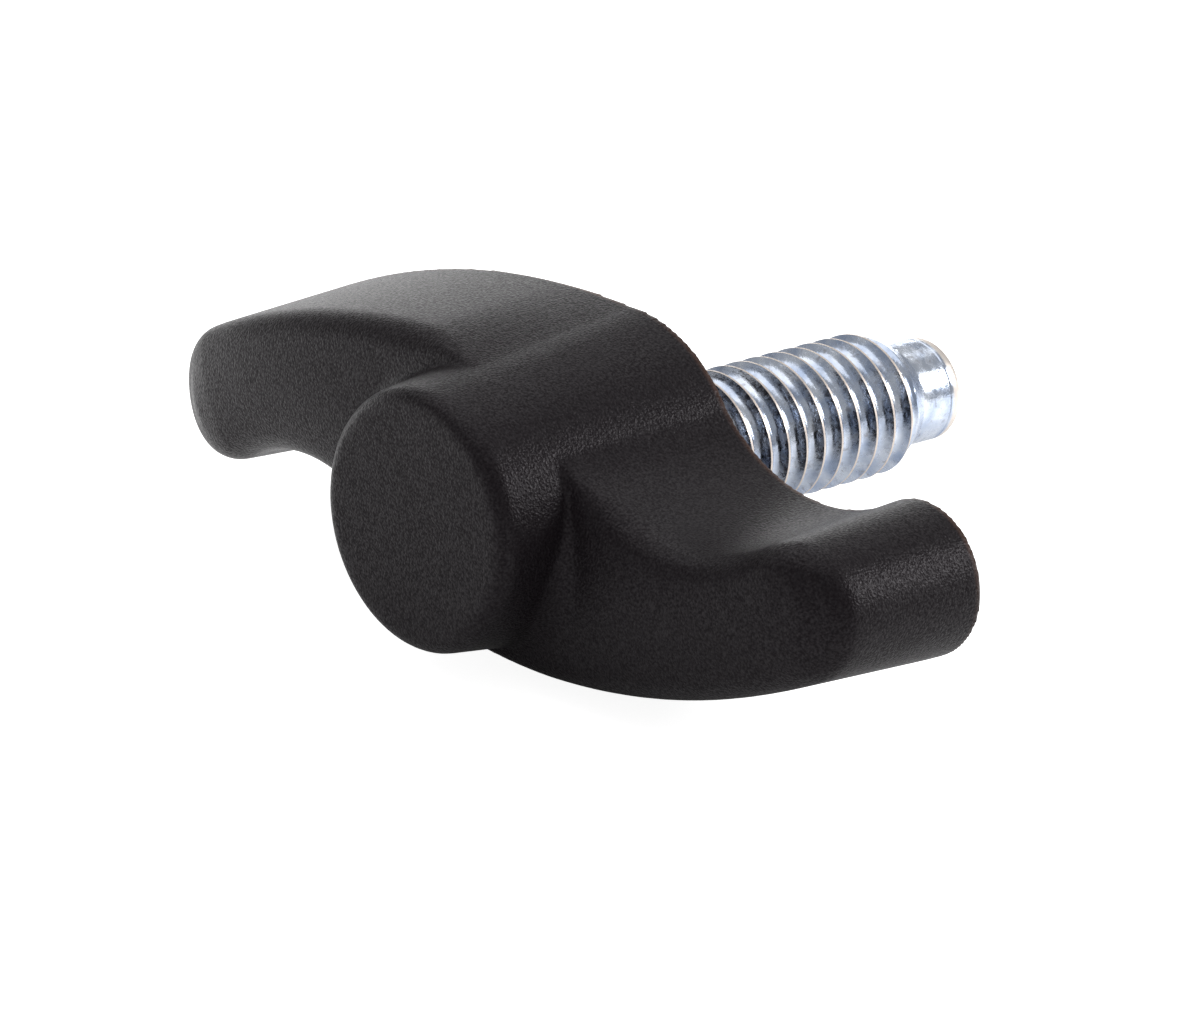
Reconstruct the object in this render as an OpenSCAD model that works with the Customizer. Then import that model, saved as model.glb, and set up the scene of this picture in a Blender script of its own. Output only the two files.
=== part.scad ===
// T-handle screw: an S-shaped moulded grip on a metal stud with an M6 thread.
// The part lies on its side. The stud points along +Y and the face of the hub along -Y.
// The origin is on the screw's axis, in the bearing face that meets the clamped part.

/* [Grip] */
// Length of the grip from tip to tip
span = 39.6; // [34:0.2:46]
// Radius of each rounded tip
tip_r = 3.15; // [2.6:0.05:3.8]
// How far each tip's centre lies off the long axis, towards its bulge
tip_drop = 1.55; // [0.8:0.05:2.2]
// Radius of the long bulge on one side of each arm
bulge_r = 35.5; // [30:0.5:50]
// Radius of the finger recess on the other side of each arm
recess_r = 7.6; // [6:0.1:10]
// Height of the arms beside the hub
arm_h = 8.65; // [7:0.05:9.5]
// Height of the arms at their tips
tip_h = 7.6; // [6.5:0.05:9]
// Draft of the arms' sides
arm_draft = 2.8; // [1:0.1:4]
// Rounding along the front of the bulge and the tip
bulge_edge_r = 1.3; // [0.8:0.1:1.8]
// Rounding along the front of the finger recess
recess_edge_r = 1.4; // [0.8:0.1:2]
// Crown of the arms' front, across the arm
arm_crown = 0.25; // [0:0.05:0.4]

/* [Hub] */
// Height of the hub above the arms' back edge
hub_h = 11.7; // [10.8:0.1:14]
// Diameter of the hub where its side reaches the arms' back edge
hub_base_d = 13.4; // [13:0.1:14]
// Diameter of the hub just below its front rim
hub_rim_d = 10.8; // [10.4:0.1:12]
// Rounding of the hub's front rim
rim_r = 0.75; // [0.4:0.05:1.2]
// Largest fillet between the hub and the arms
hub_fillet_r = 1.1; // [0.5:0.1:1.4]
// Diameter of the bearing boss on the back
boss_d = 10.4; // [9:0.1:11]
// How far the bearing boss stands behind the arms
boss_proud = 0.9; // [0.5:0.1:1.2]

/* [Back pockets] */
// Thickness of the arms' side walls round the pockets
pocket_wall = 1.9; // [1.5:0.1:2.2]
// Thickness of the arms' front wall over the pockets
pocket_roof = 2.8; // [2:0.1:4]
// Thickness of the solid wall between the bearing boss and the pockets
pocket_core_t = 1.5; // [1:0.1:2.5]
// Thickness of the rib that crosses each arm
rib_t = 1.2; // [0.8:0.1:2]
// Distance of that rib from the screw's axis
rib_x = 11; // [10:0.1:12.5]

/* [Stud] */
// Major diameter of the thread
thread_d = 6; // [5.9:0.05:6]
// Length of the stud beyond the bearing face
stud_l = 16; // [14:0.5:30]
// Diameter of the smooth pilot at the end
pilot_d = 4.3; // [3.8:0.1:4.6]
// Length of the pilot
pilot_l = 2.3; // [1.5:0.1:3]
// Length of the chamfer where the thread ends
thread_chamfer = 1.5; // [0.6:0.1:1.8]
// Chamfer round the pilot's end
pilot_chamfer = 0.4; // [0.2:0.1:0.6]
// Diameter of the relief in the bearing face round the thread
relief_d = 6.8; // [6.4:0.1:7.4]
// Depth of that relief
relief_depth = 0.6; // [0.4:0.1:1]
// Diameter of the neck between the thread and the anchor
neck_d = 5.3; // [4.8:0.1:5.6]
// Diameter of the fluted anchor inside the hub
anchor_d = 8.8; // [8:0.1:9]
// Length of the anchor
anchor_l = 8.4; // [6:0.1:8.8]
// Depth of the plastic between the bearing face and the anchor
anchor_depth = 2; // [1.5:0.1:2.5]
// Number of flutes round the anchor
flute_count = 12; // [8:1:16]
// Radius of each flute
flute_r = 0.5; // [0.3:0.05:0.6]
// Width of the ring groove round the anchor
groove_w = 1.6; // [1:0.1:2]
// Depth of the ring groove
groove_t = 0.9; // [0.6:0.1:1.1]
// Gap between the stud and the plastic moulded round it
mould_gap = 0.01; // [0.01:0.01:0.05]

/* [Hidden] */
plastic_colour = [0.06, 0.06, 0.065];
zinc_colour = [0.72, 0.75, 0.8];
round_fn = 96;
// Steps of the outline: along each arm, round each half tip, up the rounded edge, across the front
arm_steps = 30;
tip_steps = 12;
edge_steps = 6;
face_steps = 8;
fillet_steps = 6;
// The hub's side stands this far outside the arms' side, so that the hub alone shows there
hub_cover = 0.04;
// The hub's fillet starts this many degrees from where an arm's edge leaves the hub, and grows over the next
recess_fade = [16, 46];
bulge_fade = [14, 45];
// Where the part lies within the roll that the ground leaves it: 0 on its bulge, 1 on its tip
lay_share = 0.2;
// Depth of the fillet's ring in the arm and the hub, its width where it has faded out inside the hub,
// and how far its upper edge lies inside the hub's side
fillet_root = 0.3;
fillet_min = 0.1;
fillet_sink = 0.015;
hub_base_r = hub_base_d / 2;
hub_rim_r = hub_rim_d / 2;
// Slope of the hub's side, from its base to where the rim's rounding starts
hub_slope = (hub_base_r - hub_rim_r) / (hub_h - rim_r);
function hub_r_at(z) = hub_base_r - hub_slope * z;

// ---- Plan of the grip, seen from the front ----
function unit(v) = v / norm(v);
function dir(a) = [cos(a), sin(a)];
function angle_of(v) = atan2(v.y, v.x);
// Upper crossing of a circle round the axis and a circle round the tip's centre
function crossing(r_axis, r_tip) =
    let (d = norm(tip_c), a = (r_axis * r_axis - r_tip * r_tip + d * d) / (2 * d),
         h = sqrt(r_axis * r_axis - a * a), u = tip_c / d)
    a * u + h * [-u.y, u.x];
tip_c = [span / 2 - tip_r, -tip_drop];
plan_r = hub_base_r - hub_cover;
// The recess touches the hub and the tip from outside, and the bulge encloses both
recess_c = crossing(plan_r + recess_r, tip_r + recess_r);
bulge_c = crossing(bulge_r - plan_r, bulge_r - tip_r);
bulge_start = angle_of(-bulge_c);
bulge_end = angle_of(tip_c - bulge_c);
shoulder_start = angle_of(bulge_c);
shoulder_end = angle_of(recess_c);
recess_start = shoulder_end + 180;
recess_end = angle_of(tip_c - recess_c) + 360;
tip_start = recess_end - 180;
tip_end = bulge_end;
tip_mid = (tip_start + tip_end) / 2;
shoulder_steps = round(arm_steps / 3);
recess_steps = arm_steps - shoulder_steps;
// An outline point is [position, outward normal, how much of it is hub, how much of it is recess]
function ease(t) = let (c = min(1, max(0, t))) c * c * (3 - 2 * c);
function arc_point(c, r, a, side, hub, recess) = [c + r * dir(a), side * dir(a), hub, recess];
function mix(a, b, t) = a + (b - a) * t;
// How quickly the hub's steeper side gives way to the arm's own draft, in steps
blend_steps = arm_steps / 4;
upper_edge = concat(
    [for (i = [0:shoulder_steps - 1])
        arc_point([0, 0], plan_r, mix(shoulder_start, shoulder_end, i / shoulder_steps), 1, 1,
            ease(i / shoulder_steps))],
    [for (i = [0:recess_steps - 1])
        arc_point(recess_c, recess_r, mix(recess_start, recess_end, i / recess_steps), -1,
            1 - ease(i / blend_steps), 1)],
    [for (i = [0:tip_steps])
        arc_point(tip_c, tip_r, mix(tip_start, tip_mid, i / tip_steps), 1, 0, 1 - ease(i / tip_steps))]);
lower_edge = concat(
    [for (i = [0:arm_steps - 1])
        arc_point(bulge_c, bulge_r, mix(bulge_start, bulge_end, i / arm_steps), 1,
            1 - ease(i / blend_steps), 0)],
    [for (i = [0:tip_steps])
        arc_point(tip_c, tip_r, mix(tip_end, tip_mid, i / tip_steps), 1, 0, 0)]);
edge_count = arm_steps + tip_steps;
// Both arms: the second is the first turned half round the axis
function turned(p) = [-p[0], -p[1], p[2], p[3]];
function edge_point(upper, i) =
    i >= 0 ? (upper ? upper_edge[i] : lower_edge[i]) : turned(upper ? lower_edge[-i] : upper_edge[-i]);

// ---- Height of the grip's front and its rounded edges ----
// The front falls away to the tips, slowly at first
function front_z(x) = mix(arm_h, tip_h, pow(x / (span / 2), 4)) - arm_crown;
function edge_r_of(p) = mix(mix(bulge_edge_r, recess_edge_r, p[3]), hub_cover, p[2]);
function side_slope(p) = mix(tan(arm_draft), hub_slope, p[2]);
// The flat of a tip's front, inside its rounded edge
tip_inset = tan(arm_draft) * (tip_h - bulge_edge_r) + bulge_edge_r;
tip_flat_w = 2 * (tip_r - tip_inset);
// The front is an arc across the arm: how steeply it meets the edges, and its height
function crown_angle(w) = atan(4 * arm_crown / max(w, tip_flat_w));
function crown_h(w) = arm_crown * pow(min(1, w / tip_flat_w), 2);
function flat_w(w) = w - 2 * tip_inset;
// Centre of the rounded edge's arc: how far it is set in from the outline, and its height
function edge_centre(p, crown_a) =
    let (r = edge_r_of(p), slope = side_slope(p), z = front_z(p[0].x) - r * cos(crown_a))
    [slope * z + r / cos(atan(slope)), z];
// Point on the side or the rounded edge: level 0 is the back edge, the last level meets the front
function side_point(p, level, crown_a) =
    let (c = edge_centre(p, crown_a), r = edge_r_of(p), lean = atan(side_slope(p)),
         a = mix(lean, 90 - crown_a, max(0, level - 1) / edge_steps),
         q = p[0] - p[1] * (level == 0 ? 0 : c.x - r * cos(a)))
    [q.x, q.y, level == 0 ? 0 : c.y + r * sin(a)];
// The front runs from one side's last level to the other's, with its crown
function face_point(a, b, step) =
    let (t = step / face_steps, q = mix(a, b, t))
    [q.x, q.y, q.z + crown_h(norm(b - a)) * 4 * t * (1 - t)];
// One cross-section of the grip, from the upper back edge over the front to the lower back edge
function section(i) =
    let (upper = edge_point(true, i), lower = edge_point(false, i),
         crown_a = crown_angle(flat_w(norm(upper[0] - lower[0]))),
         a = side_point(upper, edge_steps + 1, crown_a), b = side_point(lower, edge_steps + 1, crown_a))
    concat(
        [for (level = [0:edge_steps]) side_point(upper, level, crown_a)],
        [for (step = [0:face_steps]) face_point(a, b, step)],
        [for (level = [edge_steps:-1:0]) side_point(lower, level, crown_a)]);
section_count = 2 * (edge_steps + 1) + face_steps + 1;

// Loft through the cross-sections, from the tip of one arm to the tip of the other
module grip_loft() {
    last = edge_count;
    sections = [for (i = [-last:last]) section(i)];
    points = [for (s = sections) each s];
    n = section_count;
    // At each tip the two sides meet in one line, so both use the upper side's points
    function at(i, j) = (i + last) * n + (abs(i) < last ? j : min(j, n - 1 - j, edge_steps + 1));
    faces = concat(
        [for (i = [-last:last - 1], j = [0:n - 2]) each [
            [at(i, j), at(i + 1, j + 1), at(i, j + 1)],
            [at(i, j), at(i + 1, j), at(i + 1, j + 1)]]],
        [for (i = [-last:last - 1]) each [
            [at(i, 0), at(i + 1, n - 1), at(i + 1, 0)],
            [at(i, 0), at(i, n - 1), at(i + 1, n - 1)]]]);
    polyhedron(points, [for (f = faces) if (f[0] != f[1] && f[1] != f[2] && f[2] != f[0]) f]);
}

// The two ends of the front's arc in each of the first arm's cross-sections
flat_ends = [for (i = [0:arm_steps])
    let (upper = edge_point(true, i), lower = edge_point(false, i),
         crown_a = crown_angle(flat_w(norm(upper[0] - lower[0]))))
    [side_point(upper, edge_steps + 1, crown_a), side_point(lower, edge_steps + 1, crown_a)]];
function plan(v) = [v.x, v.y];
function beside(e, q) = cross(plan(e[1] - e[0]), q - plan(e[0]));
// Height of the loft at a point of the plan on one rounded edge; d is the distance from the outline
function edge_z(p, d, crown_a) =
    let (c = edge_centre(p, crown_a), r = edge_r_of(p), e = max(0, min(r, c.x - d)))
    c.y + sqrt(r * r - e * e);
// Height of the loft at a point of the plan beside the hub, on the first arm
function arm_z(q) =
    let (sides = [for (e = flat_ends) beside(e, q)],
         i = [for (k = [0:arm_steps - 1]) if (sides[k] * sides[k + 1] <= 0) k, 0][0],
         ends = mix(flat_ends[i], flat_ends[i + 1], sides[i] / (sides[i] - sides[i + 1])),
         w = norm(plan(ends[1] - ends[0])), u = plan(ends[1] - ends[0]) / w, t = (q - plan(ends[0])) * u / w)
    t < 0 ? edge_z(edge_point(true, i), norm(q - recess_c) - recess_r, crown_angle(w)) :
    t > 1 ? edge_z(edge_point(false, i), bulge_r - norm(q - bulge_c), crown_angle(w)) :
    mix(ends[0], ends[1], t).z + crown_h(w) * 4 * t * (1 - t);

// Concave fillet round the foot of the hub, from the recess to the bulge of each arm
function fillet_at(a) =
    hub_fillet_r * ease((shoulder_end - a - recess_fade[0]) / recess_fade[1])
    * ease((a - bulge_start - bulge_fade[0]) / bulge_fade[1]);
// Profile of the fillet at one angle: tangent to the arm at its foot and to the hub's side at its top
function fillet_profile(a) =
    let (w = max(fillet_at(a), fillet_min), ray = dir(a), small = 0.05,
         // Where the fillet has faded out, the ring stays inside the hub
         sunk = 2 * fillet_min * (1 - ease(fillet_at(a) / (2 * fillet_min))),
         rough_r = hub_r_at(arm_h) + w, foot_z = arm_z(rough_r * ray),
         foot_slope = (foot_z - arm_z((rough_r + small) * ray)) / small,
         foot = [hub_r_at(foot_z) + w - sunk, foot_z],
         // The corner is where the arm's tangent meets the hub's side
         rise = (w * foot_slope) / (1 - hub_slope * foot_slope),
         corner = [hub_r_at(foot_z + rise) - sunk - fillet_sink, foot_z + rise],
         reach = norm(corner - foot), top = corner + reach * unit([-hub_slope, 1]))
    concat(
        [[corner.x - fillet_root, foot_z - fillet_root], [foot.x, foot_z - fillet_root]],
        [for (i = [0:fillet_steps]) let (t = i / fillet_steps)
            mix(mix(foot, corner, t), mix(corner, top, t), t)],
        [[corner.x - fillet_root, top.y]]);
module hub_fillet() {
    step_a = 360 / round_fn;
    rings = [for (k = [0:round_fn - 1])
        let (b = k * step_a > 180 ? k * step_a - 360 : k * step_a)
        // The second arm repeats the first, half a turn on
        fillet_profile(b > shoulder_start ? b - 180 : (b < bulge_start ? b + 180 : b))];
    points = [for (k = [0:round_fn - 1]) for (q = rings[k])
        [q.x * cos(k * step_a), q.x * sin(k * step_a), q.y]];
    n = len(rings[0]);
    faces = [for (k = [0:round_fn - 1], j = [0:n - 1]) each
        let (p = (k + 1) % round_fn * n, m = (j + 1) % n) [
            [k * n + j, k * n + m, p + m],
            [k * n + j, p + m, p + j]]];
    polyhedron(points, faces);
}

// Hub: a drafted round boss with a rounded front rim, from the arms' back edge to its flat face
module hub() {
    rotate_extrude($fn = round_fn) {
        polygon([
            [0, 0], [hub_base_r, 0], [hub_rim_r, hub_h - rim_r], [hub_rim_r - rim_r, hub_h], [0, hub_h]]);
        intersection() {
            translate([hub_rim_r - rim_r, hub_h - rim_r]) circle(rim_r, $fn = round_fn);
            translate([0, hub_h - rim_r]) square([hub_rim_r, rim_r]);
        }
    }
}

// Fluted anchor and neck of the stud inside the hub, larger by a gap where the plastic is cut for them
module stud_root(gap = 0) {
    cylinder(h = anchor_depth + 1, d = neck_d + 2 * gap, $fn = round_fn);
    difference() {
        translate([0, 0, anchor_depth - gap])
            cylinder(h = anchor_l + 2 * gap, d = anchor_d + 2 * gap, $fn = round_fn);
        for (k = [0:flute_count - 1]) rotate([0, 0, k * 360 / flute_count])
            translate([anchor_d / 2 + flute_r / 4, 0, anchor_depth - 1])
                cylinder(h = anchor_l + 2, r = flute_r - gap, $fn = 32);
        translate([0, 0, anchor_depth + (anchor_l - groove_w) / 2 + gap]) difference() {
            cylinder(h = groove_w - 2 * gap, r = anchor_d, $fn = round_fn);
            translate([0, 0, -1])
                cylinder(h = groove_w + 2, d = anchor_d - 2 * groove_t + 2 * gap, $fn = round_fn);
        }
    }
}

// Outline of one arm's pocket: the arm's own arcs moved in by the wall's thickness
module pocket_plan() {
    recess_path = [for (i = [0:arm_steps])
        recess_c + (recess_r + pocket_wall) * dir(mix(recess_start, recess_end, i / arm_steps))];
    tip_path = [for (i = [0:2 * tip_steps])
        tip_c + (tip_r - pocket_wall) * dir(mix(tip_start, tip_end, i / (2 * tip_steps)))];
    bulge_path = [for (i = [0:arm_steps])
        bulge_c + (bulge_r - pocket_wall) * dir(mix(bulge_end, bulge_start, i / arm_steps))];
    polygon(concat(recess_path, tip_path, bulge_path));
}
// Two pockets in the back of one arm, with a rib between them
module arm_pockets() {
    difference() {
        translate([0, 0, -1]) linear_extrude(tip_h - pocket_roof + 1) pocket_plan();
        translate([0, 0, -2]) cylinder(h = arm_h + 3, r = boss_d / 2 + pocket_core_t, $fn = round_fn);
        translate([rib_x - rib_t / 2, -span, -2]) cube([rib_t, 2 * span, arm_h + 3]);
    }
}

// The stud's axis along +Z here, towards the hub's face, with the bearing face at zero
module lay_down() {
    // The hub is round, so the part may roll on it until the lower bulge or the tip beside it
    // touches the ground. It is laid a little beyond the place where the bulge touches.
    bulge_roll = atan2(bulge_c.x, bulge_c.y);
    tip_roll = asin((plan_r - tip_r) / norm(tip_c)) - angle_of(tip_c);
    rotate([90, 0, 0]) rotate([0, 0, mix(bulge_roll, tip_roll, lay_share)]) children();
}

module handle() {
    color(plastic_colour) lay_down() difference() {
        union() {
            translate([0, 0, boss_proud]) {
                grip_loft();
                hub_fillet();
                hub();
            }
            cylinder(h = boss_proud + 1, d = boss_d, $fn = round_fn);
        }
        translate([0, 0, boss_proud]) for (a = [0, 180]) rotate([0, 0, a]) arm_pockets();
        stud_root(mould_gap);
        translate([0, 0, -1]) cylinder(h = relief_depth + 1, d = relief_d, $fn = round_fn);
    }
}

module threaded_stud() {
    thread_l = stud_l - pilot_l - thread_chamfer;
    pilot_r = pilot_d / 2;
    color(zinc_colour) lay_down() {
        stud_root();
        rotate([180, 0, 0]) rotate_extrude($fn = round_fn) polygon([
            [0, 0], [thread_d / 2, 0], [thread_d / 2, thread_l], [pilot_r, thread_l + thread_chamfer],
            [pilot_r, stud_l - pilot_chamfer], [pilot_r - pilot_chamfer, stud_l], [0, stud_l]]);
    }
}

handle();
threaded_stud();
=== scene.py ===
"""T-handle screw: materials, rolled thread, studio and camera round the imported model."""
import cmath
import math

import bmesh
import bpy
from mathutils import Matrix, Vector
from mathutils.bvhtree import BVHTree


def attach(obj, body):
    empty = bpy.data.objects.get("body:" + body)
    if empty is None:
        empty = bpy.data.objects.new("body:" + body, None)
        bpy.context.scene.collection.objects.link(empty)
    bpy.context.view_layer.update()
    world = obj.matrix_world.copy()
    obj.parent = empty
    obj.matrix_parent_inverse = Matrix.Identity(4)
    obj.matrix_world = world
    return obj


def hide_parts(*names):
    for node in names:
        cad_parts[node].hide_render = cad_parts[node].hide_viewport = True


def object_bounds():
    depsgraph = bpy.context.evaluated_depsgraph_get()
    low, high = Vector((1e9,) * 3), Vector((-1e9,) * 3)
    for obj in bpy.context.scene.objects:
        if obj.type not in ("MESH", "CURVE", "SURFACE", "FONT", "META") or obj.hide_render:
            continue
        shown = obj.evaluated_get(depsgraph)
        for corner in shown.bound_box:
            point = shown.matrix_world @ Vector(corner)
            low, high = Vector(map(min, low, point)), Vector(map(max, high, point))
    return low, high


MM = 0.001

# ---- Camera: the photo's viewing angle, round a point on the grip ----
CAMERA_AZIMUTH = 44.99  # degrees from the hub's face towards the near arm
CAMERA_ELEVATION = 22.97
CAMERA_ROLL = 6.28
CAMERA_DISTANCE = 324.34 * MM
CAMERA_TARGET = Vector((-0.553, -1.767, -2.027)) * MM
LENS = 241.5  # mm
SENSOR = 36  # mm wide

# ---- Light: a grey written as 0.18 renders at about 0.10 to 0.18 on the grip's visible faces ----
ROOM_LIGHT = 0.46  # the even light from all round, which the camera sees as 1
FLOOR_SIZE = 4.0  # m
FLOOR_LIFT = 0.90  # the floor's own glow, to the camera alone
# Name, azimuth from -Y towards +X and elevation in degrees, distance in m, size in m, power in W
LAMPS = (
    ("softbox", 139, 29, 0.5, (0.17, 0.17), 1.05),
    ("backdrop", -128, 8, 0.6, (0.40, 0.11), 0.33),
    ("back_high", -148, 46, 0.6, (0.30, 0.16), 0.16),
    ("overhead", -70, 68, 0.7, (0.9, 0.9), 2.6),
)
# Patches of the floor that mirror dark, placed for contact shadows: centre and reach
SHADOWS = (((10 * MM, -6 * MM), 22 * MM), ((-6 * MM, 16 * MM), 20 * MM))
SHADOW_CORE = 0.3  # the share of a patch's reach that has no glow at all
FRONT_MIRROR = 0.22  # the mirrored glow of the floor before the part, where behind it is 1; dimmed as painted shade on the faces that mirror it
MIRROR_TURNS = (-10 * MM, 16 * MM)  # between these values of Y less X it goes from the one to the other

# ---- Stud: sizes as in the CAD source ----
THREAD_R = 3.0 * MM
PITCH = 1.0 * MM
THREAD_DEPTH = 0.42 * PITCH  # worn crests and filled roots make it shallower than the standard's
ROOT_R = 0.36 * PITCH
CREST_Y = 4.08 * MM  # a crest's place along the generator that faces the camera
CREST_ANGLE = math.radians(30.65)  # that generator, from +X towards +Z
STEPS_ROUND = 144
STEPS_PITCH = 20
FLANK = math.radians(60)
THREAD_START = -0.55 * MM  # inside the relief round the stud
STUD_LENGTH = 16.0 * MM
PILOT_R = 2.15 * MM
PILOT_LENGTH = 2.3 * MM
PILOT_CHAMFER = 0.4 * MM
THREAD_CHAMFER = 1.5 * MM
CONE_END = STUD_LENGTH - PILOT_LENGTH + 0.02 * MM  # where the thread's mesh gives over to the pilot's
PILOT_START = 0.25 * MM  # from there to the pilot's first ring
RING_BACK = 0.32 * MM  # from the pilot's rounded edge back to the fine ring cut in it
RING_HALF = 0.05 * MM
RING_DEPTH = 0.035 * MM
DIMPLE_R = 0.9 * MM  # the shallow dish in the stud's end
DIMPLE_FLOOR_R = 0.6 * MM
DIMPLE_DEPTH = 0.12 * MM
EDGE_ARC_STEPS = 6
SHARP_ANGLE = math.radians(24)
SAME_PLACE = 1e-8  # m, within which two places count as one ring
MERGE = 1e-7  # m, within which vertices become one

# ---- Looks: linear colours; noises as features in a metre, detail, roughness; bumps in mm ----
BLACKS = ((0.0042, 0.0028, 0.0038), (0.0066, 0.0046, 0.0060))
PARTING_BROWN = (0.075, 0.036, 0.024)
PARTING_RISE = (-1.25 * MM, -1.05 * MM)  # along Y, where the brown band starts and is full
PARTING_FALL = (-0.98 * MM, -0.93 * MM)  # where it starts to fade and is gone
GRAIN = (9500, 1.5, 0.6)
CLOUD = (240, 3.0)
PLASTIC_ROUGHNESS = (0.46, 0.34)  # in the grain's hollows, on its peaks
PLASTIC_SPECULAR = (0.11, 0.31)  # the same
PLASTIC_TINT = (1.0, 0.94, 0.99, 1)
CLOUD_BUMP = 0.014
GRAIN_BUMP = 0.036
ZINCS = ((0.36, 0.43, 0.57), (0.66, 0.71, 0.80))
SPECK_TINT = (0.30, 0.30, 0.33)
WORN_TIP = (0.74, 0.68, 0.63)
WORN_CREST = (0.66, 0.59, 0.54)
CREST_WEAR = (THREAD_R - 0.012 * MM, THREAD_R - 0.004 * MM)  # radius, where wear starts and is full
TIP_WEAR = (STUD_LENGTH - 0.62 * MM, STUD_LENGTH - 0.5 * MM)  # the same along Y
ZINC_CLOUD = (900, 3.0)
SPECKS = (3300, 3.0, 0.6)
MARKS = (7000, 2.0)
MARK_STRETCH = (0.12, 1.0, 0.12)  # drawn out across the stud's axis, so that they ring it
ZINC_ROUGHNESS = (0.14, 0.34)
WORN_ROUGHNESS = 0.22  # added where the plate is worn
MARK_BUMP = 0.006
SPECK_BUMP = 0.016
PAPERS = ((0.84, 0.84, 0.84), (0.87, 0.87, 0.87))
PAPER_FIBRE = (900, 3.0)
PAPER_ROUGHNESS = 0.9


def material(name, build):
    """A node material whose look is made by build(nodes, links, shader)."""
    made = bpy.data.materials.new(name)
    made.use_nodes = True
    tree = made.node_tree
    build(tree.nodes, tree.links, tree.nodes["Principled BSDF"])
    return made


def place(nodes, links, stretch=(1, 1, 1)):
    """The part's own coordinates, stretched for marks that run one way."""
    source = nodes.new("ShaderNodeTexCoord")
    mapping = nodes.new("ShaderNodeMapping")
    mapping.inputs["Scale"].default_value = stretch
    links.new(source.outputs["Object"], mapping.inputs["Vector"])
    return mapping.outputs["Vector"]


def noise(nodes, links, where, scale, detail=4.0, roughness=0.5):
    """A noise texture; the scale counts features in a metre."""
    texture = nodes.new("ShaderNodeTexNoise")
    texture.inputs["Scale"].default_value = scale
    texture.inputs["Detail"].default_value = detail
    texture.inputs["Roughness"].default_value = roughness
    links.new(where, texture.inputs["Vector"])
    return texture.outputs["Fac"]


def spread(nodes, links, value, low, high, start=0.0, end=1.0):
    """Maps a value from start..end to low..high, and holds it there."""
    node = nodes.new("ShaderNodeMapRange")
    for name, number in (("From Min", start), ("From Max", end), ("To Min", low), ("To Max", high)):
        node.inputs[name].default_value = number
    links.new(value, node.inputs["Value"])
    return node.outputs["Result"]


def blend(nodes, links, factor, first, second):
    """Mixes two colours, each a constant or a socket."""
    node = nodes.new("ShaderNodeMix")
    node.data_type = "RGBA"
    links.new(factor, node.inputs["Factor"])
    for name, colour in (("A", first), ("B", second)):
        if isinstance(colour, tuple):
            node.inputs[name].default_value = (*colour, 1)
        else:
            links.new(colour, node.inputs[name])
    return node.outputs["Result"]


def bump(nodes, links, shader, heights):
    """Raises the surface by (height socket, distance in mm) pairs, one after the other."""
    below = None
    for height, distance in heights:
        node = nodes.new("ShaderNodeBump")
        node.inputs["Strength"].default_value = 1.0
        node.inputs["Distance"].default_value = distance * MM
        links.new(height, node.inputs["Height"])
        if below:
            links.new(below, node.inputs["Normal"])
        below = node.outputs["Normal"]
    links.new(below, shader.inputs["Normal"])


def combined(nodes, links, operation, first, second):
    """The result of a Math node for two values, each a float or a socket."""
    node = nodes.new("ShaderNodeMath")
    node.operation = operation
    for k, value in enumerate((first, second)):
        if isinstance(value, float):
            node.inputs[k].default_value = value
        else:
            links.new(value, node.inputs[k])
    return node.outputs["Value"]


def axes(nodes, links, where):
    """The X, Y and Z of a place, as sockets by name."""
    node = nodes.new("ShaderNodeSeparateXYZ")
    links.new(where, node.inputs["Vector"])
    return node.outputs


def from_axis(nodes, links, where):
    """The distance of a place from the screw's axis."""
    across = nodes.new("ShaderNodeVectorMath")
    across.operation = "MULTIPLY"
    across.inputs[1].default_value = (1, 0, 1)
    links.new(where, across.inputs[0])
    radius = nodes.new("ShaderNodeVectorMath")
    radius.operation = "LENGTH"
    links.new(across.outputs["Vector"], radius.inputs[0])
    return radius.outputs["Value"]


def black_plastic(nodes, links, shader):
    """Black moulded plastic with a spark-eroded grain, browned along the parting edge at its back."""
    where = place(nodes, links)
    grain = noise(nodes, links, where, *GRAIN)
    cloud = noise(nodes, links, where, *CLOUD)
    along = axes(nodes, links, where)["Y"]
    colour = blend(nodes, links, cloud, *BLACKS)
    edge = combined(nodes, links, "MULTIPLY", spread(nodes, links, along, 0.0, 1.0, *PARTING_RISE),
                    spread(nodes, links, along, 1.0, 0.0, *PARTING_FALL))
    edge = combined(nodes, links, "MULTIPLY", edge, spread(nodes, links, cloud, 0.25, 1.0, 0.35, 0.6))
    links.new(blend(nodes, links, edge, colour, PARTING_BROWN), shader.inputs["Base Color"])
    links.new(spread(nodes, links, grain, *PLASTIC_ROUGHNESS, 0.3, 0.7), shader.inputs["Roughness"])
    specular = spread(nodes, links, grain, *PLASTIC_SPECULAR, 0.36, 0.70)
    links.new(specular, shader.inputs["Specular IOR Level"])
    shader.inputs["Specular Tint"].default_value = PLASTIC_TINT
    bump(nodes, links, shader, [(cloud, CLOUD_BUMP), (grain, GRAIN_BUMP)])


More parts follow.
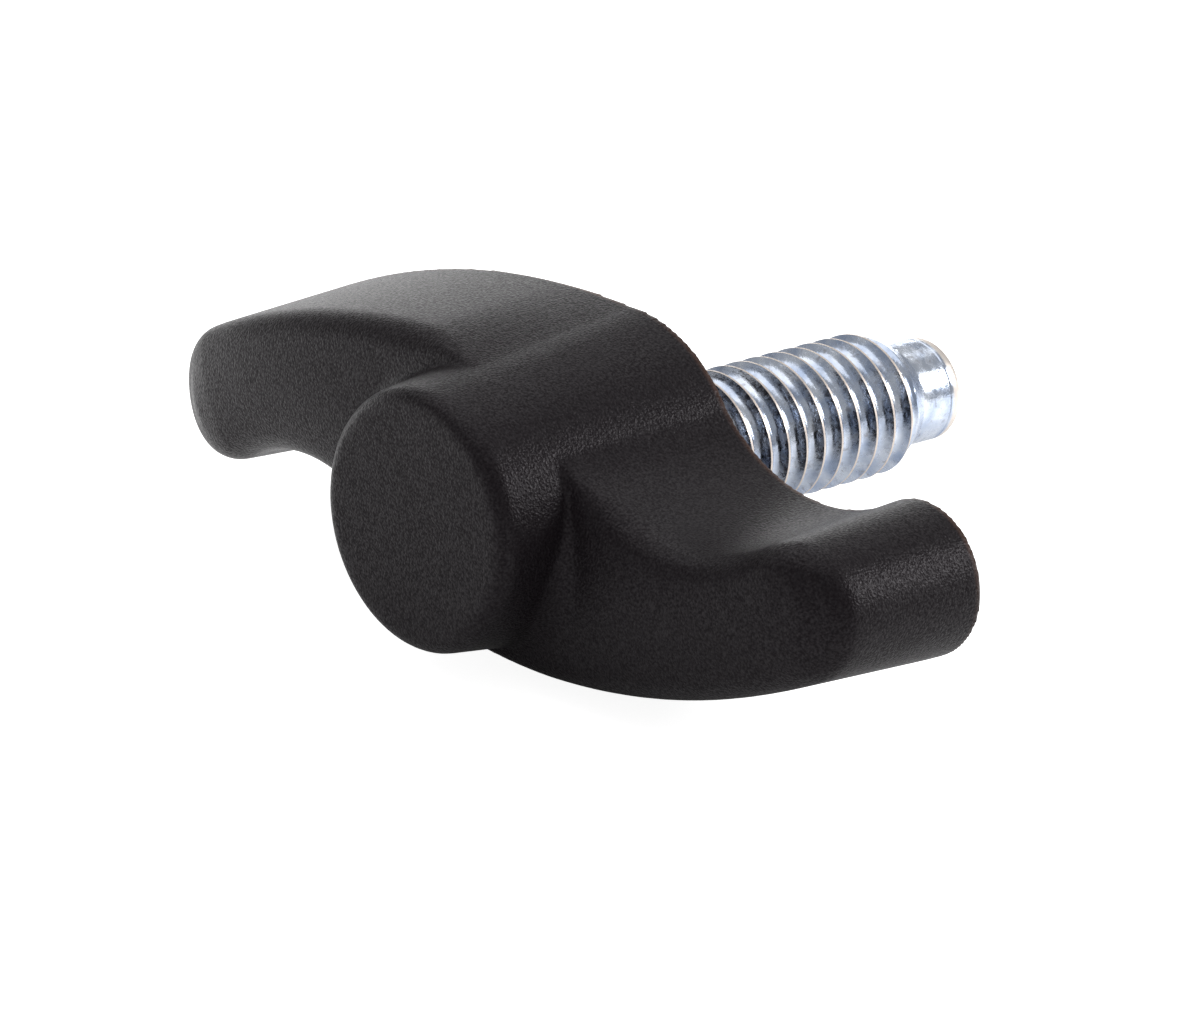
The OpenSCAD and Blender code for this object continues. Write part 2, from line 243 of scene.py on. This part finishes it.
def zinc_plate(nodes, links, shader):
    """Bright zinc on rolled steel: bluish, dark-specked, ringed with fine marks, worn at crests and tip."""
    where = place(nodes, links)
    cloud = noise(nodes, links, where, *ZINC_CLOUD)
    specks = noise(nodes, links, where, *SPECKS)
    marks = noise(nodes, links, place(nodes, links, MARK_STRETCH), *MARKS)
    crest = spread(nodes, links, from_axis(nodes, links, where), 0.0, 1.0, *CREST_WEAR)
    tip = spread(nodes, links, axes(nodes, links, where)["Y"], 0.0, 1.0, *TIP_WEAR)
    worn = combined(nodes, links, "MAXIMUM", crest, tip)
    plate = blend(nodes, links, spread(nodes, links, cloud, 0.0, 1.0, 0.35, 0.65), *ZINCS)
    plate = blend(nodes, links, spread(nodes, links, specks, 0.0, 0.7, 0.58, 0.72), plate, SPECK_TINT)
    worn_tint = blend(nodes, links, crest, WORN_TIP, WORN_CREST)
    links.new(blend(nodes, links, worn, plate, worn_tint), shader.inputs["Base Color"])
    shader.inputs["Metallic"].default_value = 1.0
    rough = spread(nodes, links, specks, *ZINC_ROUGHNESS, 0.35, 0.65)
    links.new(combined(nodes, links, "ADD", rough, spread(nodes, links, worn, 0.0, WORN_ROUGHNESS)),
              shader.inputs["Roughness"])
    bump(nodes, links, shader, [(marks, MARK_BUMP), (specks, SPECK_BUMP)])


def thread_r(phase):
    """Radius of the thread at a phase in pitches: flat crests at whole numbers, rounded roots between."""
    from_root = abs((phase % 1.0) - 0.5) * PITCH
    bottom = THREAD_R - THREAD_DEPTH
    tangent = ROOT_R * math.sin(FLANK)
    if from_root < tangent:
        return bottom + ROOT_R - math.sqrt(ROOT_R ** 2 - from_root ** 2)
    return min(THREAD_R, bottom + ROOT_R * (1 - math.cos(FLANK)) + (from_root - tangent) * math.tan(FLANK))


def stud_r(y, angle):
    """Radius of the stud at a place along it: the thread, cut down by the cone before the pilot."""
    cone = PILOT_R + (STUD_LENGTH - PILOT_LENGTH - y) * (THREAD_R - PILOT_R) / THREAD_CHAMFER
    phase = (y - CREST_Y) / PITCH + (angle - CREST_ANGLE) / (2 * math.pi)
    return max(PILOT_R, min(thread_r(phase), cone))


def thread_piece():
    """The stud outside the grip: a right-hand thread from its relief to its cone, and the pilot."""
    rows = round((CONE_END - THREAD_START) / PITCH + 2) * STEPS_PITCH
    mesh = bmesh.new()
    rings = []
    for k in range(STEPS_ROUND):
        angle = 2 * math.pi * k / STEPS_ROUND
        first = math.floor((THREAD_START - CREST_Y) / PITCH) * PITCH + CREST_Y
        first -= PITCH * (angle - CREST_ANGLE) / (2 * math.pi)
        places = [min(max(first + j * PITCH / STEPS_PITCH, THREAD_START), CONE_END) for j in range(rows + 1)]
        spots = [(stud_r(y, angle), y) for y in places]
        rings.append([mesh.verts.new((r * math.cos(angle), y, r * math.sin(angle))) for r, y in spots])
    for k in range(STEPS_ROUND):
        # The last strip meets the first one a pitch further along the thread
        following, shift = (rings[k + 1], 0) if k + 1 < STEPS_ROUND else (rings[0], -STEPS_PITCH)
        for j in range(rows):
            m = j + shift
            if m >= 0:
                mesh.faces.new((rings[k][j], rings[k][j + 1], following[m + 1], following[m]))
    bmesh.ops.remove_doubles(mesh, verts=mesh.verts, dist=MERGE)
    close_pilot(mesh)
    bmesh.ops.recalc_face_normals(mesh, faces=mesh.faces)
    piece = linked("rolled_thread", mesh)
    piece.data.set_sharp_from_angle(angle=SHARP_ANGLE)
    return piece


def ring_at(mesh, y):
    """The vertices of a mesh at a place along the stud, in order round it."""
    ring = [v for v in mesh.verts if abs(v.co.y - y) < SAME_PLACE]
    ring.sort(key=lambda v: math.atan2(v.co.z, v.co.x) % (2 * math.pi - 1e-9))
    return ring


def pilot_profile():
    """Radius and place of the rings from the thread's cone to the dish in the stud's end."""
    edge, tip = PILOT_CHAMFER, STUD_LENGTH
    ring = tip - edge - RING_BACK
    rounding = [(PILOT_R - edge * (1 - math.cos(a)), tip - edge * (1 - math.sin(a)))
                for a in (math.radians(90 * k / EDGE_ARC_STEPS) for k in range(EDGE_ARC_STEPS + 1))]
    side = [(PILOT_R, CONE_END + PILOT_START), (PILOT_R, ring - RING_HALF), (PILOT_R - RING_DEPTH, ring),
            (PILOT_R, ring + RING_HALF)]
    return side + rounding + [(DIMPLE_R, tip), (DIMPLE_FLOOR_R, tip - DIMPLE_DEPTH)]


def close_pilot(mesh):
    """The plain pilot with its fine ring and rounded end, and the hidden cap at the other end."""
    last = ring_at(mesh, CONE_END)
    for r, y in pilot_profile():
        ring = [mesh.verts.new((r * v.co.x / v.co.xz.length, y, r * v.co.z / v.co.xz.length)) for v in last]
        for k in range(len(ring)):
            m = (k + 1) % len(ring)
            mesh.faces.new((last[k], last[m], ring[m], ring[k]))
        last = ring
    mesh.faces.new(last)
    mesh.faces.new(ring_at(mesh, THREAD_START))


def linked(name, mesh):
    """Turns a bmesh into a smooth-shaded object in the scene."""
    for face in mesh.faces:
        face.smooth = len(face.verts) < 5
    data = bpy.data.meshes.new(name)
    mesh.to_mesh(data)
    mesh.free()
    piece = bpy.data.objects.new(name, data)
    bpy.context.scene.collection.objects.link(piece)
    return piece


# ---- Grip: sizes as in the CAD source, in mm; heights count from the arms' back ----
SPAN = 39.6
TIP_R = 3.15
TIP_DROP = 1.55  # how far a tip's centre lies off the line through the hub
BULGE_R = 35.5
RECESS_R = 7.6
ARM_H = 8.65  # at the hub
TIP_H = 7.6
ARM_SLOPE = math.tan(math.radians(2.8))  # the draft of the sides
ARM_CROWN = 0.25
BULGE_EDGE_R = 1.3
RECESS_EDGE_R = 1.4
HUB_COVER = 0.04  # how far the arms' outline stays inside the hub
HUB_H = 11.7
HUB_BASE_R = 6.7
HUB_RIM_R = 5.4
RIM_R = 0.75
HUB_SLOPE = (HUB_BASE_R - HUB_RIM_R) / (HUB_H - RIM_R)
FILLET_R = 1.1
FILLET_ROOT = 0.3  # how deep the fillet's solid reaches into the grip
FILLET_LEAST = 0.1  # the width it keeps while it sinks out of sight
FILLET_SINK = 0.015  # its corner lies this far inside the hub's side
RECESS_FADE = (16, 46)  # degrees from the recess's edge: where the fillet starts, over how many it grows
BULGE_FADE = (14, 45)  # the same from the bulge's edge
SLOPE_STEP = 0.05  # over which the slope at the fillet's foot is measured
BOSS_R = 5.2
BOSS_PROUD = 0.9
RELIEF_R = 3.4
RELIEF_DEPTH = 0.6
POCKET_WALL = 1.9
POCKET_ROOF = 2.8
POCKET_CORE = 1.5  # the wall left round the boss
RIB_T = 1.2
RIB_X = 11.0
OVERLAP = 1  # by which solids reach past each other before they are joined or cut
POCKET_UNDER = 2.0  # by which the pockets reach out of the back
LAY_SHARE = 0.2  # of the roll between its bulge and its tip touching the ground

# Steps of the skin
ARM_STEPS = 150  # along an arm
TIP_STEPS = 36  # round half a tip
EDGE_STEPS = 10  # up an edge
FACE_STEPS = 12  # across the front
ROUND_STEPS = 240  # round the hub
RIM_STEPS = 12
FILLET_STEPS = 10
POCKET_STEPS = 60  # along a pocket's side
POCKET_TIP_STEPS = 40
SKIN_DEPTH = 8  # of the remesh's octree
SKIN_SCALE = 0.99
SKIN_SMOOTH = 6  # rounds that soften the moulded skin
SKIN_FACTOR = 0.5


def ease(t):
    """0 to 1 with a soft start and a soft end."""
    t = min(1.0, max(0.0, t))
    return t * t * (3 - 2 * t)


def mix(a, b, t):
    """The value a share t of the way from a to b."""
    return a + (b - a) * t


def turn(angle):
    """The unit vector at an angle, as a complex number."""
    return cmath.exp(1j * angle)


# Plan of the grip as complex numbers: circles round the hub and the tip fix the arm's two arcs
TIP_C = complex(SPAN / 2 - TIP_R, -TIP_DROP)
PLAN_R = HUB_BASE_R - HUB_COVER


def crossing(r_axis, r_tip):
    """A crossing of circles round the screw's axis and round the tip's centre."""
    apart = abs(TIP_C)
    along = (r_axis ** 2 - r_tip ** 2 + apart * apart) / (2 * apart)
    return TIP_C / apart * complex(along, math.sqrt(r_axis ** 2 - along * along))


RECESS_C = crossing(PLAN_R + RECESS_R, TIP_R + RECESS_R)
BULGE_C = crossing(BULGE_R - PLAN_R, BULGE_R - TIP_R)
SHOULDER_ARC = (cmath.phase(BULGE_C), cmath.phase(RECESS_C))
RECESS_ARC = (SHOULDER_ARC[1] + math.pi, cmath.phase(TIP_C - RECESS_C) + 2 * math.pi)
BULGE_ARC = (cmath.phase(-BULGE_C), cmath.phase(TIP_C - BULGE_C))
TIP_ARC = (RECESS_ARC[1] - math.pi, BULGE_ARC[1])
TIP_MID = sum(TIP_ARC) / 2


def arc_point(centre, r, angle, side, hub, recess):
    """A point of the outline: place, outward normal, how much of it is hub, how much is recess."""
    return centre + r * turn(angle), side * turn(angle), hub, recess


def arm_outline():
    """The upper and the lower edge of one arm, from the hub's middle line to the tip."""
    shoulder = round(ARM_STEPS / 3)
    recess, fade = ARM_STEPS - shoulder, ARM_STEPS / 4
    upper = [arc_point(0, PLAN_R, mix(*SHOULDER_ARC, i / shoulder), 1, 1, ease(i / shoulder))
             for i in range(shoulder)]
    upper += [arc_point(RECESS_C, RECESS_R, mix(*RECESS_ARC, i / recess), -1, 1 - ease(i / fade), 1)
              for i in range(recess)]
    upper += [arc_point(TIP_C, TIP_R, mix(TIP_ARC[0], TIP_MID, i / TIP_STEPS), 1, 0, 1 - ease(i / TIP_STEPS))
              for i in range(TIP_STEPS + 1)]
    lower = [arc_point(BULGE_C, BULGE_R, mix(*BULGE_ARC, i / ARM_STEPS), 1, 1 - ease(i / fade), 0)
             for i in range(ARM_STEPS)]
    lower += [arc_point(TIP_C, TIP_R, mix(TIP_ARC[1], TIP_MID, i / TIP_STEPS), 1, 0, 0)
              for i in range(TIP_STEPS + 1)]
    return upper, lower


UPPER, LOWER = arm_outline()
# How far the part is rolled on its hub, between its bulge and its tip touching the ground
BULGE_ROLL = math.pi / 2 - cmath.phase(BULGE_C)
TIP_ROLL = math.asin((PLAN_R - TIP_R) / abs(TIP_C)) - cmath.phase(TIP_C)
ROLL = mix(BULGE_ROLL, TIP_ROLL, LAY_SHARE)


def outline_pair(i):
    """The upper and the lower point of one cross-section; the second arm is the first turned half round."""
    if i >= 0:
        return UPPER[i], LOWER[i]
    return tuple((-p[0], -p[1], p[2], p[3]) for p in (LOWER[-i], UPPER[-i]))


# At a tip: how far its flat front lies inside the outline, and how wide it is
TIP_INSET = ARM_SLOPE * (TIP_H - BULGE_EDGE_R) + BULGE_EDGE_R
TIP_FLAT = 2 * (TIP_R - TIP_INSET)


def crown_angle(width):
    """Slope of the crowned front at its edges, on an arm of this width."""
    return math.atan(4 * ARM_CROWN / max(width - 2 * TIP_INSET, TIP_FLAT))


def crown_h(width):
    """Rise of the crown over a flat front of this width."""
    return ARM_CROWN * min(1.0, width / TIP_FLAT) ** 2


def rounded_edge(p, crown):
    """Radius, slope of the side, and the arc's centre as inset and height, of the rounded front edge."""
    r = mix(mix(BULGE_EDGE_R, RECESS_EDGE_R, p[3]), HUB_COVER, p[2])
    slope = mix(ARM_SLOPE, HUB_SLOPE, p[2])
    z = mix(ARM_H, TIP_H, (abs(p[0].real) / (SPAN / 2)) ** 4) - ARM_CROWN - r * math.cos(crown)
    return r, slope, slope * z + r / math.cos(math.atan(slope)), z


def side_point(p, level, crown):
    """A point of the side: its foot at level 0, then up the rounded edge."""
    r, slope, inset, z = rounded_edge(p, crown)
    a = mix(math.atan(slope), math.pi / 2 - crown, max(0, level - 1) / EDGE_STEPS)
    q = p[0] if level == 0 else p[0] - p[1] * (inset - r * math.cos(a))
    return q.real, q.imag, 0.0 if level == 0 else z + r * math.sin(a)


def section(i):
    """One cross-section of the arms, from the upper back edge over the front to the lower one."""
    upper, lower = outline_pair(i)
    crown = crown_angle(abs(upper[0] - lower[0]))
    a, b = (side_point(p, EDGE_STEPS + 1, crown) for p in (upper, lower))
    width = math.dist(a, b)
    front = [(mix(a[0], b[0], t), mix(a[1], b[1], t), mix(a[2], b[2], t) + crown_h(width) * 4 * t * (1 - t))
             for t in (k / FACE_STEPS for k in range(FACE_STEPS + 1))]
    return [side_point(upper, k, crown) for k in range(EDGE_STEPS + 1)] + front \
        + [side_point(lower, k, crown) for k in range(EDGE_STEPS, -1, -1)]


def arms_mesh():
    """The loft through the cross-sections of both arms."""
    last = ARM_STEPS + TIP_STEPS
    mesh = bmesh.new()
    rows = []
    for i in range(-last, last + 1):
        points = section(i)
        n = len(points)
        if abs(i) < last:
            rows.append([mesh.verts.new(p) for p in points])
        else:
            half = [mesh.verts.new(p) for p in points[:EDGE_STEPS + 2]]
            rows.append([half[min(j, n - 1 - j, EDGE_STEPS + 1)] for j in range(n)])
    for a, b in zip(rows, rows[1:]):
        for j in range(len(a)):
            m = (j + 1) % len(a)
            corners = list(dict.fromkeys((a[j], b[j], b[m], a[m])))
            if len(corners) > 2:
                mesh.faces.new(corners)
    return mesh


def revolved(profile):
    """A solid of revolution round Z from (radius, height) pairs that start and end on the axis."""
    mesh = bmesh.new()
    ends = [mesh.verts.new((0, 0, profile[k][1])) for k in (0, -1)]
    rings = [[mesh.verts.new((r * math.cos(a), r * math.sin(a), z)) for r, z in profile[1:-1]]
             for a in (2 * math.pi * k / ROUND_STEPS for k in range(ROUND_STEPS))]
    for a, b in zip(rings, rings[1:] + rings[:1]):
        mesh.faces.new((ends[0], b[0], a[0]))
        mesh.faces.new((ends[1], a[-1], b[-1]))
        for j in range(len(a) - 1):
            mesh.faces.new((a[j], b[j], b[j + 1], a[j + 1]))
    return mesh


def hub_mesh():
    """The tapered hub with its rounded rim."""
    rim = [(HUB_RIM_R - RIM_R * (1 - math.cos(a)), HUB_H - RIM_R * (1 - math.sin(a)))
           for a in (math.radians(90 * k / RIM_STEPS) for k in range(RIM_STEPS + 1))]
    return revolved([(0, 0), (HUB_BASE_R, 0)] + rim + [(0, HUB_H)])


def arm_height(front, q):
    """Height of the first arm's front at a point of the plan beside the hub."""
    hit = front.ray_cast(Vector((q.real, q.imag, 2 * HUB_H)), Vector((0, 0, -1)))
    return hit[0].z if hit[0] else 0.0


def fillet_mesh(front):
    """The concave fillet round the foot of the hub, which fades out towards each arm's edges."""
    mesh = bmesh.new()
    rings = []
    for k in range(ROUND_STEPS):
        a = 2 * math.pi * k / ROUND_STEPS
        a = a - 2 * math.pi if a > math.pi else a
        b = a - math.pi if a > SHOULDER_ARC[0] else (a + math.pi if a < BULGE_ARC[0] else a)
        fade = ease((math.degrees(SHOULDER_ARC[1] - b) - RECESS_FADE[0]) / RECESS_FADE[1]) \
            * ease((math.degrees(b - BULGE_ARC[0]) - BULGE_FADE[0]) / BULGE_FADE[1])
        full = FILLET_R * fade
        w = max(full, FILLET_LEAST)
        sunk = 2 * FILLET_LEAST * (1 - ease(full / (2 * FILLET_LEAST)))
        r = HUB_BASE_R - HUB_SLOPE * ARM_H + w
        foot_z = arm_height(front, r * turn(b))
        slope = (foot_z - arm_height(front, (r + SLOPE_STEP) * turn(b))) / SLOPE_STEP
        slope = min(1.0, max(-1.0, slope))
        foot = complex(HUB_BASE_R - HUB_SLOPE * foot_z + w - sunk, foot_z)
        rise = w * slope / (1 - HUB_SLOPE * slope)
        corner = complex(HUB_BASE_R - HUB_SLOPE * (foot_z + rise) - sunk - FILLET_SINK, foot_z + rise)
        up = complex(-HUB_SLOPE, 1)
        top = corner + abs(corner - foot) * up / abs(up)
        curve = [mix(mix(foot, corner, t), mix(corner, top, t), t)
                 for t in (j / FILLET_STEPS for j in range(FILLET_STEPS + 1))]
        inner, under = corner.real - FILLET_ROOT, foot_z - FILLET_ROOT
        profile = [complex(inner, under), complex(foot.real, under)] + curve + [complex(inner, top.imag)]
        rings.append([mesh.verts.new((p.real * math.cos(a), p.real * math.sin(a), p.imag)) for p in profile])
    for a, b in zip(rings, rings[1:] + rings[:1]):
        for j in range(len(a)):
            m = (j + 1) % len(a)
            mesh.faces.new((a[j], a[m], b[m], b[j]))
    return mesh


def pocket_meshes():
    """The two pockets in each arm's back, beside its rib, and the core they leave round the boss."""
    sides = [k / POCKET_STEPS for k in range(POCKET_STEPS + 1)]
    ends = [k / POCKET_TIP_STEPS for k in range(1, POCKET_TIP_STEPS)]
    path = [RECESS_C + (RECESS_R + POCKET_WALL) * turn(mix(*RECESS_ARC, t)) for t in sides]
    path += [TIP_C + (TIP_R - POCKET_WALL) * turn(mix(*TIP_ARC, t)) for t in ends]
    path += [BULGE_C + (BULGE_R - POCKET_WALL) * turn(mix(*BULGE_ARC[::-1], t)) for t in sides]
    core = BOSS_R + POCKET_CORE
    under = -(POCKET_UNDER + OVERLAP)
    made = []
    for side in (1, -1):
        for low, high in ((0.0, RIB_X - RIB_T / 2), (RIB_X + RIB_T / 2, SPAN)):
            mesh = bmesh.new()
            base = [mesh.verts.new((side * q.real, side * q.imag, -POCKET_UNDER)) for q in path]
            face = mesh.faces.new(base)
            raised = bmesh.ops.extrude_face_region(mesh, geom=[face])["geom"]
            bmesh.ops.translate(mesh, vec=(0, 0, TIP_H - POCKET_ROOF + POCKET_UNDER),
                                verts=[g for g in raised if isinstance(g, bmesh.types.BMVert)])
            for x, keep in ((low, 1), (high, -1)):
                cut = bmesh.ops.bisect_plane(
                    mesh, geom=mesh.verts[:] + mesh.edges[:] + mesh.faces[:], plane_co=(side * x, 0, 0),
                    plane_no=(-side * keep, 0, 0), clear_outer=True)["geom_cut"]
                edges = [g for g in cut if isinstance(g, bmesh.types.BMEdge)]
                if edges:
                    bmesh.ops.holes_fill(mesh, edges=edges)
            made.append(mesh)
    return made, revolved([(0, under), (core, under), (core, ARM_H), (0, ARM_H)])


def solid(mesh, lift=0.0):
    """A bmesh as an object for the Boolean steps, lifted along the screw's axis."""
    bmesh.ops.translate(mesh, vec=(0, 0, lift), verts=mesh.verts)
    bmesh.ops.recalc_face_normals(mesh, faces=mesh.faces)
    return linked("form", mesh)


def combine(body, operation, *others):
    """The solid left when others are joined to a body or cut from it; all of them are used up."""
    for other in others:
        step = body.modifiers.new(operation, "BOOLEAN")
        step.solver = "MANIFOLD"
        step.operation = operation
        step.object = other
    result = evaluated(body)
    for spent in (body,) + others:
        bpy.data.objects.remove(spent)
    return linked("form", result)


def evaluated(piece):
    """The mesh of an object once its modifiers have run."""
    mesh = bmesh.new()
    mesh.from_mesh(piece.evaluated_get(bpy.context.evaluated_depsgraph_get()).to_mesh())
    return mesh


def moulded_skin(form):
    """The even, softened skin of a moulding round a solid, which is used up."""
    skin = form.modifiers.new("skin", "REMESH")
    skin.mode = "SHARP"
    skin.octree_depth = SKIN_DEPTH
    skin.scale = SKIN_SCALE
    even = form.modifiers.new("even", "SMOOTH")
    even.factor = SKIN_FACTOR
    even.iterations = SKIN_SMOOTH
    mesh = evaluated(form)
    bpy.data.objects.remove(form)
    return mesh


def grip_piece():
    """The grip: arms, hub, fillet and back as one solid, given the soft skin of a moulding."""
    arms = arms_mesh()
    bmesh.ops.recalc_face_normals(arms, faces=arms.faces)
    fillet = fillet_mesh(BVHTree.FromBMesh(arms))
    top = BOSS_PROUD + OVERLAP
    boss = revolved([(0, 0), (BOSS_R, 0), (BOSS_R, top), (0, top)])
    relief = revolved([(0, -OVERLAP), (RELIEF_R, -OVERLAP), (RELIEF_R, RELIEF_DEPTH), (0, RELIEF_DEPTH)])
    pockets, core = pocket_meshes()
    form = combine(solid(arms, BOSS_PROUD), "UNION", solid(hub_mesh(), BOSS_PROUD), solid(fillet, BOSS_PROUD),
                   solid(boss))
    core = solid(core, BOSS_PROUD)
    for mesh in pockets:
        pocket = solid(mesh, BOSS_PROUD)
        keep = core.copy()
        bpy.context.scene.collection.objects.link(keep)
        form = combine(form, "DIFFERENCE", combine(pocket, "DIFFERENCE", keep))
    bpy.data.objects.remove(core)
    mesh = moulded_skin(combine(form, "DIFFERENCE", solid(relief)))
    # Laid on its side, as the CAD source lays it: the hub's face along -Y
    lay = Matrix.Scale(MM, 4) @ Matrix.Rotation(math.pi / 2, 4, "X") @ Matrix.Rotation(ROLL, 4, "Z")
    bmesh.ops.transform(mesh, matrix=lay, verts=mesh.verts)
    return linked("moulded_grip", mesh)


def soft_lamp(name, azimuth, elevation, distance, size, power):
    """A rectangular soft lamp that looks at the part; azimuth counts from -Y towards +X."""
    data = bpy.data.lights.new(name, "AREA")
    data.shape = "RECTANGLE"
    data.size, data.size_y = size
    data.energy = power
    lamp = bpy.data.objects.new(name, data)
    a, e = math.radians(azimuth), math.radians(elevation)
    away = Vector((math.sin(a) * math.cos(e), -math.cos(a) * math.cos(e), math.sin(e)))
    lamp.location = distance * away
    lamp.rotation_euler = away.to_track_quat("Z", "Y").to_euler()
    bpy.context.scene.collection.objects.link(lamp)


def floor_paper(nodes, links, shader):
    """Pale paper that glows to white for the camera and, unevenly, where the part mirrors it."""
    fibre = noise(nodes, links, place(nodes, links), *PAPER_FIBRE)
    links.new(blend(nodes, links, fibre, *PAPERS), shader.inputs["Base Color"])
    shader.inputs["Roughness"].default_value = PAPER_ROUGHNESS
    shader.inputs["Emission Color"].default_value = (1, 1, 1, 1)
    path = nodes.new("ShaderNodeLightPath")
    seen = combined(nodes, links, "MULTIPLY", path.outputs["Is Camera Ray"], FLOOR_LIFT)
    mirrored = combined(nodes, links, "MULTIPLY", path.outputs["Is Glossy Ray"], mirror_glow(nodes, links))
    links.new(combined(nodes, links, "ADD", seen, mirrored), shader.inputs["Emission Strength"])


def mirror_glow(nodes, links):
    """The floor in mirrored rays: white behind the part, dim before it and dark in the shadow patches, as
    painted shade in the part's reflections.
    """
    glow = None
    for centre, reach in SHADOWS:
        away = nodes.new("ShaderNodeVectorMath")
        away.operation = "DISTANCE"
        away.inputs[1].default_value = (*centre, 0)
        links.new(place(nodes, links), away.inputs[0])
        clear = spread(nodes, links, away.outputs["Value"], 0.0, 1.0, SHADOW_CORE * reach, reach)
        glow = combined(nodes, links, "MULTIPLY", glow, clear) if glow else clear
    # Dimmer before the part: painted shade in what its front faces mirror
    spot = axes(nodes, links, place(nodes, links))
    behind = combined(nodes, links, "SUBTRACT", spot["Y"], spot["X"])
    return combined(nodes, links, "MULTIPLY", glow,
                    spread(nodes, links, behind, FRONT_MIRROR, 1.0, *MIRROR_TURNS))


def white_floor():
    """The floor under the part, at the height of the part's lowest point."""
    bpy.ops.mesh.primitive_plane_add(size=FLOOR_SIZE, location=(0, 0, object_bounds()[0].z))
    floor = bpy.context.object
    floor.name = "floor"
    floor.data.materials.append(material("floor_paper", floor_paper))


def even_room():
    """White all round to the camera, and an even ROOM_LIGHT to everything else."""
    world = bpy.data.worlds.new("studio")
    world.use_nodes = True
    nodes, links = world.node_tree.nodes, world.node_tree.links
    room = nodes["Background"]
    room.inputs["Color"].default_value = (1, 1, 1, 1)
    path = nodes.new("ShaderNodeLightPath")
    strength = spread(nodes, links, path.outputs["Is Camera Ray"], ROOM_LIGHT, 1.0)
    links.new(strength, room.inputs["Strength"])
    bpy.context.scene.world = world


def camera():
    """The photo's view, aimed at the target and rolled, as the scene's camera."""
    azimuth, elevation = math.radians(CAMERA_AZIMUTH), math.radians(CAMERA_ELEVATION)
    back = Vector((math.sin(azimuth) * math.cos(elevation), -math.cos(azimuth) * math.cos(elevation),
                   math.sin(elevation)))
    data = bpy.data.cameras.new("camera")
    data.lens = LENS
    data.sensor_width = SENSOR
    data.clip_start = 0.01
    view = bpy.data.objects.new("camera", data)
    facing = (-back).to_track_quat("-Z", "Y").to_matrix().to_4x4()
    view.matrix_world = Matrix.Translation(CAMERA_TARGET + CAMERA_DISTANCE * back) @ facing \
        @ Matrix.Rotation(math.radians(CAMERA_ROLL), 4, "Z")
    bpy.context.scene.collection.objects.link(view)
    bpy.context.scene.camera = view


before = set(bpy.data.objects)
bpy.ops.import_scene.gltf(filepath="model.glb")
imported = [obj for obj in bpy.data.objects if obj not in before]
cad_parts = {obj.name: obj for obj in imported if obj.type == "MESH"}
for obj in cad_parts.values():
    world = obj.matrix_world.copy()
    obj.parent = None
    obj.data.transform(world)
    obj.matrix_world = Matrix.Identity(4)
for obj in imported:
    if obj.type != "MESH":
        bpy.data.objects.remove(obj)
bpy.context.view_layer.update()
plastic = material("black_plastic", black_plastic)
zinc = material("zinc_plate", zinc_plate)
grip = grip_piece()
grip.data.materials.append(plastic)
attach(grip, "root")
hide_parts("handle")
thread = thread_piece()
thread.data.materials.append(zinc)
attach(thread, "root")
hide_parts("threaded_stud")
white_floor()
even_room()
for lamp in LAMPS:
    soft_lamp(*lamp)
camera()
bpy.context.scene.view_settings.view_transform = "Standard"
